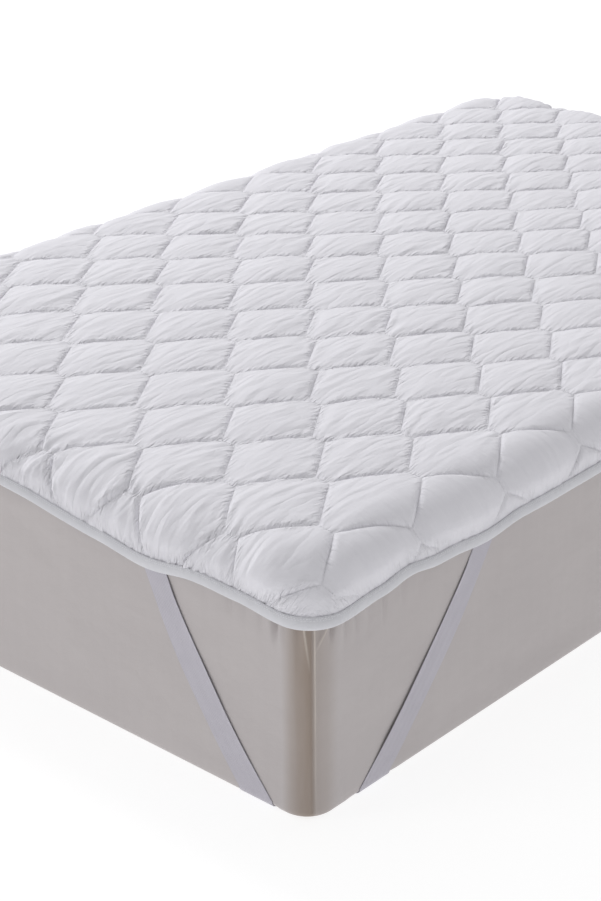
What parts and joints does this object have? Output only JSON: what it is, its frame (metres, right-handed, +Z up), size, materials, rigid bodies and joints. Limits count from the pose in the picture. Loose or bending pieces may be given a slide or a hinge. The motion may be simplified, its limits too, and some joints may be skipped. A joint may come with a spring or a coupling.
{
  "type": "mattress protector on a mattress",
  "caption": "Quilted mattress protector with honeycomb stitching, a bound edge and elastic corner straps, fitted over a plain mattress.",
  "frame": {"origin": "under the middle of the mattress, on the surface it lies on", "axes": "X across the width, Y along the length towards the far short side, Z up"},
  "size_m": [1.222, 2.022, 0.3823],
  "materials": {
    "mattress_cover": "matt woven cover",
    "quilted_cloth": "matt microfibre, quilted",
    "binding_tape": "matt folded tape",
    "elastic": "matt ribbed elastic"
  },
  "bodies": {
    "root": {"mattress": "mattress_cover", "pad": "quilted_cloth", "binding": "binding_tape", "strap_front_right": "elastic", "strap_back_right": "elastic", "strap_back_left": "elastic", "strap_front_left": "elastic"}
  },
  "joints": []
}
